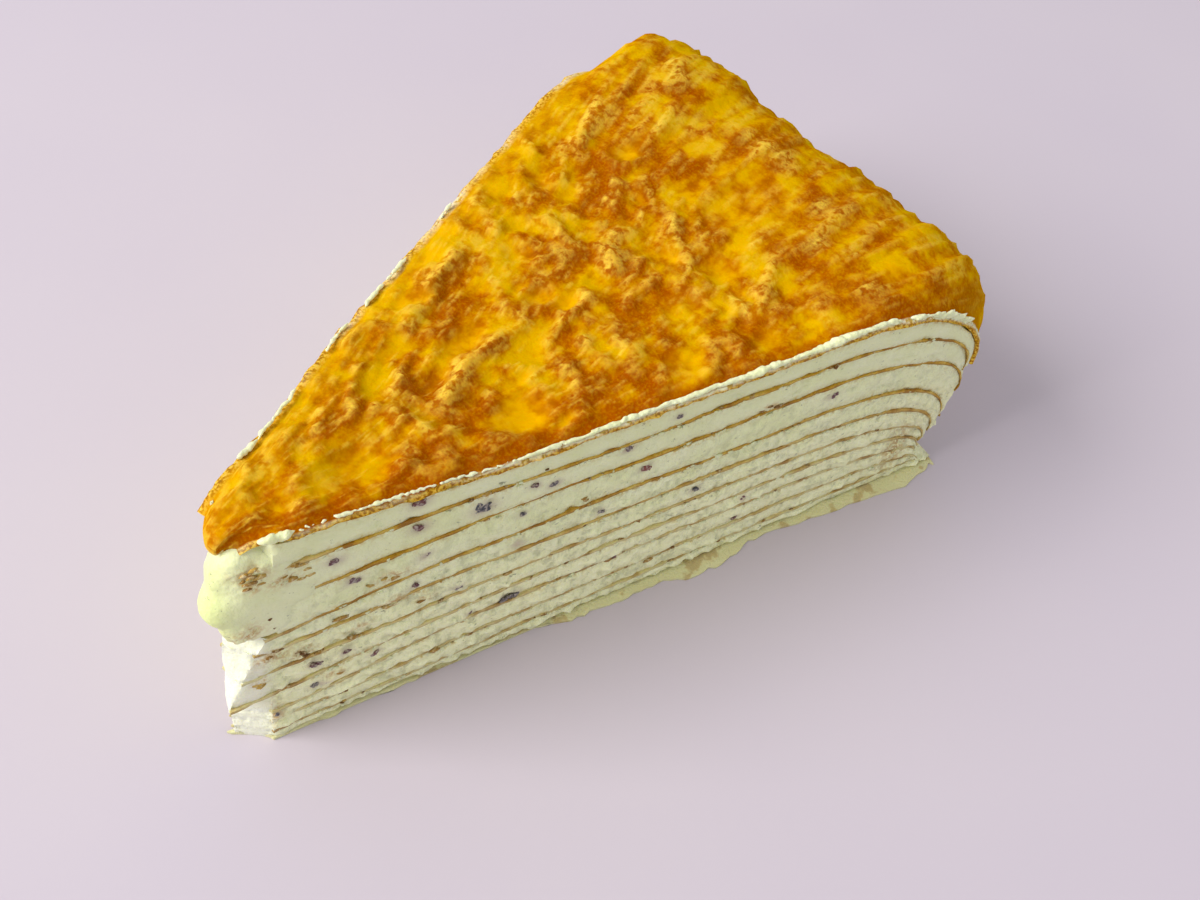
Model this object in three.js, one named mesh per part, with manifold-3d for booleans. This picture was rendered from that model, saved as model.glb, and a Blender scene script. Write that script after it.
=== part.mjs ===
// A slice of mille crepe cake, as cut from a round cake with a knife.
//
// Eleven thin crepes lie on each other, with ten layers of whipped cream between them.
// The crepes sag towards the cake's outer rim, and the browned top crepe hangs over it.
// At the blunt tip the knife has dragged the upper creams together into one soft lump.
//
// Millimetres, +Z up. The slice rests on z = 0. +X runs from the tip to the rim, and -Y is
// the near cut face. Every layer is a box bent into place: its x runs from the tip to the
// rim, its y from the near cut to the far cut, and its z from its underside to its top.

import * as THREE from "three";
import Module from "manifold-3d";
import { mergeVertices } from "three/addons/utils/BufferGeometryUtils.js";

const wasm = await Module();
wasm.setup();

// Driving dimensions
const HALF_ANGLE = THREE.MathUtils.degToRad(17); // half of the wedge that was cut
const CENTRE = { x: -61.9, y: 0.81 }; // the middle of the whole round cake
const SHOULDER = 84; // distance from the cake's middle at which the layers begin to sag
const TURN = 24; // the travel that stands for the sag, beyond the shoulder
const CREPE = 0.7; // thickness of a crepe
const BROWNED = 1.1; // thickness of the browned top crepe
const GAP = 0.2; // clearance between two layers
const CREAM_BULGE = 0.45; // how far cream swells out between two crepes

// The crepes from the bottom up: the height of each on the flat part, the distance and
// height at which it ends at the rim, and the x and sag at which its near side starts at the
// tip. Where the cream below or above it starts elsewhere, that has its own x.
const CREPES = [
  { height: 0.5, rim: 113.4, rimHeight: 0.5, tip: 14.4, tipSag: 0 },
  { height: 2.4, rim: 110.2, rimHeight: 1.7, tip: 14.2, tipSag: 0.5 },
  { height: 5.7, rim: 109.2, rimHeight: 2.9, tip: 14.1, tipSag: 1.2 },
  { height: 9.8, rim: 108.8, rimHeight: 4.2, tip: 14.2, tipSag: 3.1 },
  { height: 12.9, rim: 108.6, rimHeight: 5.6, tip: 9.6, tipSag: 2.0, creamBelow: 14.2 },
  { height: 16.3, rim: 108.8, rimHeight: 7.1, tip: 11.2, tipSag: 0.8 },
  { height: 20.3, rim: 109.4, rimHeight: 8.8, tip: 12.8, tipSag: 0 },
  { height: 24.3, rim: 110.2, rimHeight: 11.2, tip: 14.0, tipSag: 1.6, creamAbove: 15.4 },
  { height: 29.6, rim: 111.0, rimHeight: 16.9, tip: 15.4, tipSag: 1.0 },
  { height: 34.0, rim: 110.0, rimHeight: 21.6, tip: 15.4, tipSag: -0.9 },
];
const TOP = { height: 37.5, rim: 110.4, rimHeight: 22.8, tip: 15.4, tipSag: -1.7 };

// Where the far side of a layer starts at the tip: at one place below the lump of cream, and
// a little nearer the tip than the near side in the layers behind the lump
const TIP_SLANT = { far: 10.6, lumpFrom: 15, back: 1.2 };

// The far cut bends in towards the tip, most of all low down: by how much, from where to
// where along the slice, and over which heights the most of it fades
const PINCH = { angle: 0.36, from: 12, to: 42, low: 20, high: 36, left: 0.25 };

// The browned crepe runs out over the lump at the tip, and hangs over the rim to a wavy hem.
// Between the cuts it is loose at the rim: it bends down later and more squarely than the
// layers do, and bulges out, most of all near the far corner.
const OVERHANG = { tip: 10.9, round: 2.5 };
const HEM = { out: 1.5, height: 12.5, wave: 1.5, nearHeight: 22.4 };
const LOOSE = { reach: 111.5, square: 3.6, fromNear: 6, fromFar: 4, atFarCut: 0.6 };
const BULGE = { near: 2, far: 4.6, across: 0.72, width: 0.33, corner: 3, lift: 1.1 };

// The lump of cream at the tip: a drop whose back is cut flat where the layers start
const LUMP = { back: 14.0, axis: 13.4, across: -1.6, low: 23.6, width: 0.78 };

// The travels at which a layer is divided, and its places across the wedge. The browned
// crepe is divided evenly, more finely, to hold its blisters.
const TRAVELS = [15.6, 20, 25, 31, 39, 48, 57, 66, 75, 84, 88.8, 93.6, 98.4, 103.2, 108];
const ACROSS = [-1, -0.82, 0, 0.82, 1];
const BROWNED_STEPS = { flat: 32, sag: 8, hem: 4, across: 20 };

const COLOURS = { browned: 0xd88a10, crepe: 0xdcb35a, cream: 0xe9e8cf };

const { lerp, smoothstep } = THREE.MathUtils;

// How far the rim stands out: a little more at both sides, with the far corner rounded off
function rimBulge(across) {
  const farCorner = 5.5 * Math.pow(Math.max(across, 0), 9);
  return 1.1 * across + 1.5 * across * across - farCorner;
}

// The slow rise and fall of each crepe, a little different from one to the next. It fades
// towards the rim and the base.
function wave(index, travel, across) {
  const slow = 0.3 * Math.sin(travel / 13 + 0.35 * index + 0.4 * across + 3);
  const own = 0.14 * Math.sin(travel / 5.2 + 2.1 * index - 0.4 * across);
  return (slow + own) * smoothstep(index, 0, 4) * (1 - smoothstep(travel, 90, 105));
}

// How far a cut edge stands out from the flat cut: small nicks, and at the base crepe a
// ragged flap that the knife left sticking out on the near side
function nick(index, travel, across) {
  if (index > 0) return 0.16 * Math.sin(travel / 4.3 + 1.9 * index + 2 * across);
  const flap = across < 0 ? 1.7 * smoothstep(travel, 48, 60) : 0.4;
  return flap + 0.7 * Math.sin(travel / 3.6) * smoothstep(travel, 20, 60);
}

// The angle from the slice's middle line, with across from -1 at the near cut to 1 at the
// far cut, which is bent in towards the tip
function angleAt(distance, across, height) {
  const low = 1 - (1 - PINCH.left) * smoothstep(height, PINCH.low, PINCH.high);
  const bend = PINCH.angle * low * (1 - smoothstep(distance, PINCH.from, PINCH.to));
  return lerp(-HALF_ANGLE, HALF_ANGLE - bend, (across + 1) / 2);
}

// A place in the slice, from its distance to the cake's middle, its place across the wedge,
// how far it stands out of the cut, and its height
function cakePoint(distance, across, outward, height) {
  const angle = angleAt(distance, across, height);
  return new THREE.Vector3(
    CENTRE.x + distance * Math.cos(angle) - outward * Math.sin(HALF_ANGLE),
    CENTRE.y + distance * Math.sin(angle) + outward * Math.sign(across) * Math.cos(HALF_ANGLE),
    height,
  );
}

// A point of the sheet through the middle of a crepe. Its travel is the distance from the
// cake's middle up to the shoulder, and then a quarter turn down to the rim.
function sheetPoint(crepe, index, travel, across, swell = 0) {
  const turn = (Math.max(travel - SHOULDER, 0) / TURN) * (Math.PI / 2);
  const reach = crepe.rim + rimBulge(across) - SHOULDER;
  const distance = Math.min(travel, SHOULDER) + reach * Math.sin(turn);
  const height = lerp(crepe.rimHeight, crepe.height, Math.cos(turn));
  const sag = crepe.tipSag * (1 - smoothstep(travel, 8, 44));
  const edge = (nick(index, travel, across) + swell) * Math.pow(Math.abs(across), 8);
  return cakePoint(distance, across, edge, height - sag + wave(index, travel, across));
}

// The travel at which a layer starts at the blunt tip, which is cut slantwise
function tipTravel(tip, across, height) {
  const far = tip < TIP_SLANT.lumpFrom ? TIP_SLANT.far : tip - TIP_SLANT.back;
  return lerp(tip, far, (across + 1) / 2) / Math.cos(angleAt(tip, across, height));
}

// The largest blisters in the browned crepe: distance from the cake's middle along the
// slice, place to the side, radius and depth
const BLISTERS = [
  [26, -2.9, 4.2, 0.8],
  [39.5, 6.4, 3.6, 0.9],
  [43, -8.6, 4.8, 1.1],
  [47, 2.2, 4.6, 0.9],
  [51.5, 13.4, 3.4, 0.6],
  [58, 1.2, 3.4, 1.0],
  [60, 9.0, 4.0, 0.8],
  [62, -14.8, 4.2, 0.8],
  [71, 14.6, 3.6, 0.8],
  [75, -4.4, 3.8, 0.9],
  [84, 12.4, 3.4, 1.0],
  [92, -21.0, 3.8, 0.7],
  [95, 2.8, 4.2, 0.7],
];

// A repeatable number from 0 to 1 for each number given
function scatter(n) {
  const v = Math.sin(n * 12.9898 + 4.137) * 43758.5453;
  return v - Math.floor(v);
}

// Small blisters, one in each square of a loose grid
const GRID = 6.5;
for (let column = 1; column < 17; column++)
  for (let row = -5; row < 5; row++) {
    const n = column * 31 + row;
    const x = (column + scatter(n)) * GRID;
    const y = (row + scatter(n + 0.3)) * GRID;
    BLISTERS.push([x, y, lerp(1.8, 3.6, scatter(n + 0.6)), lerp(0.1, 0.6, scatter(n + 0.9))]);
  }

// A round hollow with a soft edge
function hollow(x, y, [centreX, centreY, radius, depth]) {
  const near = ((x - centreX) ** 2 + (y - centreY) ** 2) / radius ** 2;
  return near < 1 ? depth * (1 - near) ** 2 : 0;
}

// The browned crepe's relief: ridges like crumpled paper, less the hollow blisters. x runs
// along the slice from the cake's middle, and y across it.
function relief(x, y) {
  const bend = 1.4 * Math.sin(y / 7.3 + x / 19);
  const first = 1 - Math.abs(Math.sin(x / 6.1 + y / 11 + bend));
  const second = 1 - Math.abs(Math.sin(y / 6.7 - x / 14 + 1.1 * Math.sin(x / 8.7)));
  const ridges = 0.75 * first * first + 0.55 * second * second;
  return BLISTERS.reduce((height, blister) => height - hollow(x, y, blister), ridges);
}

// Soft folds that run down over the rim, the largest near the near corner
function pleat(across) {
  const corner = 0.8 * Math.exp(-(((across + 0.9) / 0.08) ** 2));
  return corner + 0.4 * Math.sin(17 * across) + 0.25 * Math.sin(31 * across + 1);
}

// How much further than its plain reach the loose rim stands out
function looseBulge(across) {
  const far = Math.exp(-(((across - BULGE.across) / BULGE.width) ** 2));
  const near = BULGE.near * smoothstep(-across, 0.2, 1);
  return near + BULGE.far * far - BULGE.corner * Math.pow(Math.max(across, 0), 9) - 0.2;
}

// The height of the hem, which is higher at the near corner
function hemHeight(across) {
  const wavy = HEM.wave * Math.sin(9 * across + 1) * smoothstep(across, -0.9, -0.5);
  return lerp(HEM.nearHeight, HEM.height, smoothstep(across, -1, -0.8)) + wavy;
}

// The sheet that the browned crepe lies along, and the way out of it, at a step from tip to
// hem. Its underside stays on the layers at both cuts. Its top is loose at the far cut too.
function brownedSheet(along, across, looseAtFar) {
  const { flat, sag, hem } = BROWNED_STEPS;
  const start = OVERHANG.tip + OVERHANG.round * across ** 2;
  const travel = along < flat
    ? lerp(start, SHOULDER, along / flat)
    : SHOULDER + TURN * Math.min((along - flat) / sag, 1);
  const point = sheetPoint(TOP, CREPES.length, travel, across);
  const turn = (Math.max(travel - SHOULDER, 0) / TURN) * (Math.PI / 2);
  const way = new THREE.Vector3(Math.cos(across * HALF_ANGLE), Math.sin(across * HALF_ANGLE), 0);
  const reach = TOP.rim + rimBulge(across);
  const fromNear = reach * HALF_ANGLE * (across + 1);
  const fromFar = reach * HALF_ANGLE * (1 - across);
  const atFar = lerp(looseAtFar, 1, smoothstep(fromFar, 0, LOOSE.fromFar));
  const loose = smoothstep(fromNear, 0, LOOSE.fromNear) * atFar;
  if (turn > 0) {
    const power = LOOSE.square;
    const square = (Math.sin(turn) ** power + Math.cos(turn) ** power) ** (-1 / power);
    const further = (LOOSE.reach + looseBulge(across) - SHOULDER) * square - (reach - SHOULDER);
    point.addScaledVector(way, loose * further * Math.sin(turn));
    point.z += loose * (TOP.height - TOP.rimHeight) * (square - 1) * Math.cos(turn);
    const raised = Math.exp(-(((across - BULGE.across) / BULGE.width) ** 2));
    point.z += loose * BULGE.lift * raised * Math.sin(turn);
  }
  const down = (along - flat - sag) / hem;
  if (down > 0) {
    const step = HEM.out * smoothstep(across, 0, 1) * smoothstep(down, 0, 0.5);
    point.addScaledVector(way, (1 - loose) * step);
    point.z = lerp(point.z, hemHeight(across), down);
  }
  const normal = way.multiplyScalar(Math.sin(turn));
  normal.z = Math.cos(turn);
  return { point: point.addScaledVector(normal, GAP / 2), normal };
}

// A point of the browned crepe. rise is 0 at its underside and 1 at its blistered top.
function brownedPoint(step, across, rise) {
  const { flat, sag, hem } = BROWNED_STEPS;
  if (rise === 0) return brownedSheet(step, across, 0).point;
  const { point, normal } = brownedSheet(step, across, LOOSE.atFarCut);
  const bumps = Math.max(relief(point.x - CENTRE.x, point.y - CENTRE.y), -0.6);
  const onRim = smoothstep(step, flat, flat + sag);
  const atHem = smoothstep(step, flat + sag, flat + sag + hem);
  const fold = Math.max(pleat(across), 0) * smoothstep(step, flat - 4, flat + sag);
  const thickness = BROWNED + 0.35 + bumps * (1 - 0.7 * onRim) + fold * (1 - 0.7 * atHem);
  const rounding = 1 - 0.35 * Math.pow(Math.abs(across), 10);
  return point.addScaledVector(normal, thickness * rounding);
}

// Bends a box into a layer. placing takes the steps along and across, and the rise from 0
// at its underside to 1 at its top.
function bentBox(stepsAlong, stepsAcross, levels, placing) {
  const box = new THREE.BoxGeometry(1, 1, 1, stepsAlong, stepsAcross, levels);
  box.translate(0.5, 0.5, 0.5);
  const position = box.getAttribute("position");
  for (let i = 0; i < position.count; i++) {
    const along = Math.round(position.getX(i) * stepsAlong);
    const across = Math.round(position.getY(i) * stepsAcross);
    const bent = placing(along, across, position.getZ(i));
    position.setXYZ(i, bent.x, bent.y, bent.z);
  }
  box.deleteAttribute("normal");
  box.deleteAttribute("uv");
  const layer = mergeVertices(box, 1e-4);
  layer.computeVertexNormals();
  return layer;
}

function crepeGeometry(index) {
  const crepe = CREPES[index];
  return bentBox(TRAVELS.length, ACROSS.length - 1, 1, (along, row, rise) => {
    const across = ACROSS[row];
    const travel = TRAVELS[along - 1] ?? tipTravel(crepe.tip, across, crepe.height);
    const point = sheetPoint(crepe, index, travel, across);
    point.z += (rise - 0.5) * CREPE;
    if (index === 0 && rise === 0) point.z = 0;
    return point;
  });
}

// The cream between a crepe and the next, which swells out a little at both cuts
function creamGeometry(index) {
  const sheets = [CREPES[index], CREPES[index + 1] ?? TOP];
  const tips = [sheets[0].creamAbove ?? sheets[0].tip, sheets[1].creamBelow ?? sheets[1].tip];
  const clearances = [(CREPE + GAP) / 2, sheets[1] === TOP ? -GAP / 2 : -(CREPE + GAP) / 2];
  return bentBox(TRAVELS.length, ACROSS.length - 1, 2, (along, row, rise) => {
    const across = ACROSS[row];
    const swell = CREAM_BULGE * Math.sin(rise * Math.PI);
    const [bottom, top] = sheets.map((sheet, i) => {
      const travel = TRAVELS[along - 1] ?? tipTravel(tips[i], across, sheet.height);
      const point = sheetPoint(sheet, index + i, travel, across, swell);
      point.z += clearances[i];
      return point;
    });
    return bottom.lerp(top, rise);
  });
}

// A solid of the boolean library from a geometry, and a geometry from such a solid
function solidOf(geometry) {
  const points = new THREE.BufferGeometry();
  points.setAttribute("position", geometry.toNonIndexed().getAttribute("position"));
  const closed = mergeVertices(points, 1e-4);
  const vertProperties = closed.getAttribute("position").array;
  const triVerts = new Uint32Array(closed.index.array);
  return new wasm.Manifold(new wasm.Mesh({ numProp: 3, vertProperties, triVerts }));
}

function geometryOf(solid) {
  const mesh = solid.getMesh();
  const geometry = new THREE.BufferGeometry();
  geometry.setAttribute("position", new THREE.BufferAttribute(mesh.vertProperties, 3));
  geometry.setIndex(new THREE.BufferAttribute(mesh.triVerts, 1));
  geometry.computeVertexNormals();
  return geometry;
}

// The lump of cream at the tip, turned on an upright axis below the browned crepe
function lumpGeometry() {
  const high = TOP.height - TOP.tipSag - 0.75;
  const side = [[0, 0], [2.0, 0.4], [3.6, 2.6], [4.6, 7.0], [4.3, 11.0], [3.2, high - LUMP.low]];
  const curve = new THREE.SplineCurve(side.map(([x, y]) => new THREE.Vector2(x, LUMP.low + y)));
  const outline = curve.getPoints(14);
  outline.push(new THREE.Vector2(0, high));
  const drop = new THREE.LatheGeometry(outline, 24);
  drop.rotateX(Math.PI / 2);
  drop.scale(1, LUMP.width, 1);
  drop.translate(CENTRE.x + LUMP.axis, CENTRE.y + LUMP.across, 0);
  const behind = new THREE.BoxGeometry(20, 40, 80);
  behind.translate(CENTRE.x + LUMP.back + 10, CENTRE.y, 20);
  return geometryOf(solidOf(drop).subtract(solidOf(behind)));
}

function piece(name, geometry, colour, roughness) {
  const material = new THREE.MeshStandardMaterial({ color: colour, roughness, metalness: 0 });
  const mesh = new THREE.Mesh(geometry, material);
  mesh.name = name;
  return mesh;
}

const slice = new THREE.Group();
for (let index = 0; index < CREPES.length; index++) {
  const name = index === 0 ? "base_crepe" : `crepe_${index}`;
  slice.add(piece(name, crepeGeometry(index), COLOURS.crepe, 0.7));
  slice.add(piece(`cream_${index + 1}`, creamGeometry(index), COLOURS.cream, 0.45));
}
slice.add(piece("tip_cream", lumpGeometry(), COLOURS.cream, 0.45));

const { flat, sag, hem, across } = BROWNED_STEPS;
const browned = bentBox(flat + sag + hem, across, 1, (step, row, rise) =>
  brownedPoint(step, (2 * row) / BROWNED_STEPS.across - 1, rise),
);
slice.add(piece("browned_crepe", browned, COLOURS.browned, 0.5));

export default slice;
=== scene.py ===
"""A slice of mille crepe cake: thin crepes with cream between them, under a browned crepe.

Sizes are in millimetres, and distances are from the middle of the whole round cake, unless
a line says otherwise. A place across the slice is -1 at the near cut and 1 at the far cut.
"""

import math
import random

import bmesh
import bpy
import numpy as np
from mathutils import Matrix, Vector, noise


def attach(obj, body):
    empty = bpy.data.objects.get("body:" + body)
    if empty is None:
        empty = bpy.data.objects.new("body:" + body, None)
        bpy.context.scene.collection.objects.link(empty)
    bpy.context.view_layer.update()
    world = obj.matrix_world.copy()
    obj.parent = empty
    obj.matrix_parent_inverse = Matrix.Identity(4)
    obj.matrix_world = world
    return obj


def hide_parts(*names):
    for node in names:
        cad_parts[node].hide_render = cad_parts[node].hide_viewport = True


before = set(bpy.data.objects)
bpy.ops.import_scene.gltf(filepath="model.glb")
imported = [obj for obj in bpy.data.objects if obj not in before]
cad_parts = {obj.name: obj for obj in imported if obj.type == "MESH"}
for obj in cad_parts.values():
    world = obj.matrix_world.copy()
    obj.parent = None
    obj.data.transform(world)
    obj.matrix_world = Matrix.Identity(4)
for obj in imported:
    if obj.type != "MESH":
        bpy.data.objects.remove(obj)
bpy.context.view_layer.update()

# The crepes are thin pancakes, soft and golden where the knife cut them. Each lies on the
# cream below it and sags towards the cake's rim. They start at the tip of the slice, which
# the knife left blunt and slanting.
MM = 0.001  # in metres
HALF_ANGLE = math.radians(17)  # from the slice's middle line to a cut
MIDDLE = (-61.9, 0.81)  # the middle of the round cake, seen from the middle of the slice
SHOULDER = 84  # where the crepes start to turn down towards the rim
TURN = 24  # the length of a crepe that turns down
TIP_BEND = 0.36  # in radians, how far the far cut bends in at the tip
FAR_TIP, FAR_TIP_SLANT = 10.6, 3  # where the layers start at the far cut, the upper ones later
SAG_REACH = (8, 44)  # the stretch of a crepe in which it sags down to the tip
SLOW_WAVE, OWN_WAVE = 0.3, 0.14  # the heights of the crepes' shared waves, and of their own
CREPE_THICKNESS = 0.48
CUT_STANDS_OUT, CUT_RAGGED, CUT_WAVE = 0.16, 0.14, 0.07
RIM_END_WAVE, TIP_SET_BACK = 0.5, 0.25
SHEETS = [  # from the base up; the cream above or below a crepe may start at its own place
    {"height": 0.5, "rim": 113.4, "rim_height": 0.5, "tip": 14.4, "sag": 0},
    {"height": 2.4, "rim": 110.2, "rim_height": 1.7, "tip": 14.2, "sag": 0.5},
    {"height": 5.7, "rim": 109.2, "rim_height": 2.9, "tip": 14.1, "sag": 1.2},
    {"height": 9.8, "rim": 108.8, "rim_height": 4.2, "tip": 14.2, "sag": 3.1},
    {"height": 12.9, "rim": 108.6, "rim_height": 5.6, "tip": 9.6, "sag": 2.0, "below": 14.2},
    {"height": 16.3, "rim": 108.8, "rim_height": 7.1, "tip": 11.2, "sag": 0.8},
    {"height": 20.3, "rim": 109.4, "rim_height": 8.8, "tip": 12.8, "sag": 0},
    {"height": 24.3, "rim": 110.2, "rim_height": 11.2, "tip": 14.0, "sag": 1.6, "above": 15.4},
    {"height": 29.6, "rim": 111.0, "rim_height": 16.9, "tip": 15.4, "sag": 1.0},
    {"height": 34.0, "rim": 110.0, "rim_height": 21.6, "tip": 15.4, "sag": -0.9},
    {"height": 37.5, "rim": 110.4, "rim_height": 22.8, "tip": 15.4, "sag": -1.7},
]
TOP = 10
ALONG_STEPS, ACROSS_STEPS = 380, 10
DARK_BATTER, GOLDEN_BATTER, PALE_BATTER = (0.40, 0.18, 0.01), (0.66, 0.38, 0.03), (0.78, 0.55, 0.11)
SHADE_UNDER_CREPE_EDGE = (0.20, 0.10, 0.012)
BATTER_UNDER_CREAM = (0.76, 0.73, 0.40)


def ease(value, low, high):
    """Rises smoothly from 0 at a low value to 1 at a high one."""
    share = np.clip((value - low) / (high - low), 0, 1)
    return share * share * (3 - 2 * share)


def mix(first, second, share):
    return first + (second - first) * share


def at_start(share):
    """Which points lie at the very start of a share from 0 to 1."""
    return share < 0.001


def at_end(share):
    """Which points lie at the very end of a share from 0 to 1."""
    return share > 0.999


def angle_at(distance, across, height):
    """The far cut bends in towards the tip, most of all low down."""
    bend = TIP_BEND * (1 - 0.75 * ease(height, 20, 36)) * (1 - ease(distance, 12, 42))
    return mix(-HALF_ANGLE, HALF_ANGLE - bend, (across + 1) / 2)


def place(distance, across, outward, height):
    """A place in the slice in metres, with outward as its way out of the cut."""
    angle = angle_at(distance, across, height)
    x = MIDDLE[0] + distance * np.cos(angle) - outward * math.sin(HALF_ANGLE)
    y = MIDDLE[1] + distance * np.sin(angle)
    y = y + outward * np.sign(across) * math.cos(HALF_ANGLE)
    return np.stack(np.broadcast_arrays(x, y, height), axis=-1) * MM


def turn_at(travel):
    """How far a crepe has turned down after a travel from the cake's middle, in radians."""
    return np.maximum(travel - SHOULDER, 0) / TURN * math.pi / 2


def sheet(level, travel, across):
    """How far out and how high the middle of a crepe lies, after a travel along it.

    Near the tip it lies lower by its sag. It shares slow waves with its neighbours, and has
    smaller ones of its own.
    """
    crepe = SHEETS[level]
    turn = turn_at(travel)

    # The rim is fuller towards the cuts, and drawn in at the far corner.
    rim = crepe["rim"] + 1.1 * across + 1.5 * across**2 - 5.5 * np.maximum(across, 0) ** 9
    distance = np.minimum(travel, SHOULDER) + (rim - SHOULDER) * np.sin(turn)

    height = mix(crepe["rim_height"], crepe["height"], np.cos(turn))
    height = height - crepe["sag"] * (1 - ease(travel, *SAG_REACH))
    slow = SLOW_WAVE * np.sin(travel / 13 + 0.35 * level + 0.4 * across + 3)
    own = OWN_WAVE * np.sin(travel / 5.2 + 2.1 * level - 0.4 * across)
    wavy = float(ease(level, 0, 4)) * (1 - ease(travel, 90, 105))
    return distance, height + (slow + own) * wavy


def tip_travel(near_tip, across, height):
    """The travel at which a layer starts at the slanting tip."""
    far_tip = FAR_TIP + FAR_TIP_SLANT * float(ease(height, 22, 34))
    return mix(near_tip, far_tip, (across + 1) / 2)


def rough(points, size, seed=0, octaves=3):
    """Smooth random values around 0 at points in millimetres, in lumps of about a size."""
    shift = Vector((seed * 7.3, seed * 1.7, seed * 3.1))
    scaled = np.asarray(points) / size
    return np.array([noise.fractal(Vector(p) + shift, 1, 2, octaves) for p in scaled])


def block(name, steps):
    """A box one unit wide, divided into steps along x, y and z."""
    bpy.ops.object.select_all(action="DESELECT")
    bpy.ops.mesh.primitive_cube_add(size=1, location=(0.5, 0.5, 0.5))
    piece = bpy.context.object
    piece.name = name
    bpy.ops.object.transform_apply(location=True)
    bpy.ops.object.mode_set(mode="EDIT")
    bpy.ops.mesh.select_mode(type="EDGE")
    for axis, count in enumerate(steps):
        edit = bmesh.from_edit_mesh(piece.data)
        for edge in edit.edges:
            start, end = (vertex.co[axis] for vertex in edge.verts)
            edge.select = abs(start - end) > 0.9  # it runs along this axis
        bmesh.update_edit_mesh(piece.data)
        if count > 1:
            bpy.ops.mesh.subdivide(number_cuts=count - 1)
    bpy.ops.object.mode_set(mode="OBJECT")
    return piece


def points_of(piece, kind="co"):
    """The places of a piece's points, or their normals, one to a row."""
    values = np.empty(len(piece.data.vertices) * 3)
    piece.data.vertices.foreach_get(kind, values)
    return values.reshape(-1, 3)


def shares_of(piece, crowding=1):
    """How far along, across (from -1 to 1) and up each point of a box lies.

    Crowding moves the steps across towards the two cuts, where the detail is.
    """
    along, across, rise = points_of(piece).T
    across = across * 2 - 1
    return along, mix(across, np.sin(across * math.pi / 2), crowding), rise


def settle(piece, points, angle=60):
    """Lays a piece's points in place and smooths it up to an angle between faces, in degrees."""
    piece.data.vertices.foreach_set("co", np.asarray(points).ravel())
    piece.data.update()
    bpy.ops.object.select_all(action="DESELECT")
    piece.select_set(True)
    bpy.context.view_layer.objects.active = piece
    bpy.ops.object.shade_smooth_by_angle(angle=math.radians(angle))


def mark(piece, name, values):
    """Keeps a value for each point of a piece, which its material reads."""
    attribute = piece.data.attributes.new(name, "FLOAT", "POINT")
    attribute.data.foreach_set("value", np.asarray(values, dtype=np.float32))


def new_material(name, **uniform):
    """A material whose shader has some uniform values, named as its sockets are."""
    material = bpy.data.materials.new(name)
    material.use_nodes = True
    shader = material.node_tree.nodes["Principled BSDF"]
    for socket, value in uniform.items():
        shader.inputs[socket.replace("_", " ")].default_value = value
    return material, material.node_tree, shader


def add(tree, kind, inputs=None, **settings):
    """Adds a shader node. An input is a value or another node's output."""
    node = tree.nodes.new("ShaderNode" + kind)
    for name, value in settings.items():
        setattr(node, name, value)
    for name, value in (inputs or {}).items():
        if isinstance(value, bpy.types.NodeSocket):
            tree.links.new(value, node.inputs[name])
        else:
            node.inputs[name].default_value = value
    return node


def value_of(tree, name):
    """A value that was marked on the piece's points."""
    return add(tree, "Attribute", attribute_name=name).outputs["Fac"]


def lumps(tree, size, detail=3, stretch=(1, 1, 1), roughness=0.5):
    """A noise pattern in lumps of a size in millimetres, from 0 to 1."""
    where = add(tree, "TexCoord").outputs["Object"]
    scaled = add(tree, "Mapping", {"Vector": where, "Scale": stretch}).outputs["Vector"]
    values = {"Vector": scaled, "Scale": 1 / (size * MM), "Detail": detail, "Roughness": roughness}
    return add(tree, "TexNoise", values).outputs["Fac"]


def rgba(colour):
    """A colour or a grey, as a socket takes it."""
    return (*colour, 1) if isinstance(colour, tuple) else (colour, colour, colour, 1)


def ramp(tree, value, *stops):
    """Colours or greys at places from 0 to 1."""
    node = add(tree, "ValToRGB", {"Fac": value})
    while len(node.color_ramp.elements) < len(stops):
        node.color_ramp.elements.new(1)
    for element, (position, colour) in zip(node.color_ramp.elements, stops):
        element.position = position
        element.color = rgba(colour)
    return node.outputs["Color"]


SHARE_IN, FIRST_IN, SECOND_IN, COLOUR_OUT = 0, 6, 7, 2  # a Mix node's sockets for colours


def blend(tree, share, first, second, kind="MIX"):
    """Mixes two colours, each a colour or an output."""
    first, second = (rgba(c) if isinstance(c, tuple) else c for c in (first, second))
    inputs = {SHARE_IN: share, FIRST_IN: first, SECOND_IN: second}
    return add(tree, "Mix", inputs, data_type="RGBA", blend_type=kind).outputs[COLOUR_OUT]


def maths(tree, kind, *values):
    """One sum of values or outputs."""
    return add(tree, "Math", dict(enumerate(values)), operation=kind).outputs["Value"]


def weigh(tree, start, *terms):
    """A number and some outputs added up, each output times its weight."""
    total = start
    for value, weight in terms:
        total = maths(tree, "MULTIPLY_ADD", value, weight, total)
    return total


def emboss(tree, shader, height, depth, strength=0.8):
    """Gives a finish a fine relief from a pattern, with a depth in millimetres."""
    values = {"Height": height, "Distance": depth * MM, "Strength": strength}
    tree.links.new(add(tree, "Bump", values).outputs["Normal"], shader.inputs["Normal"])


golden, tree, shader = new_material(
    "golden_crepe", Roughness=0.6, Subsurface_Weight=0.15, Subsurface_Scale=1.2 * MM,
    Subsurface_Radius=(1.0, 0.6, 0.2), Specular_IOR_Level=0.2,
)
fine_grain = bpy.data.node_groups.new("fine_grain", "ShaderNodeTree")
fine_grain.interface.new_socket("Grain", in_out="OUTPUT", socket_type="NodeSocketFloat")
group_out = fine_grain.nodes.new("NodeGroupOutput")
fine_grain.links.new(lumps(fine_grain, 0.35), group_out.inputs["Grain"])


def grain_in(tree):
    """The fine grain that all the cooked batter and the fruit share."""
    return add(tree, "Group", node_tree=fine_grain).outputs["Grain"]


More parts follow.
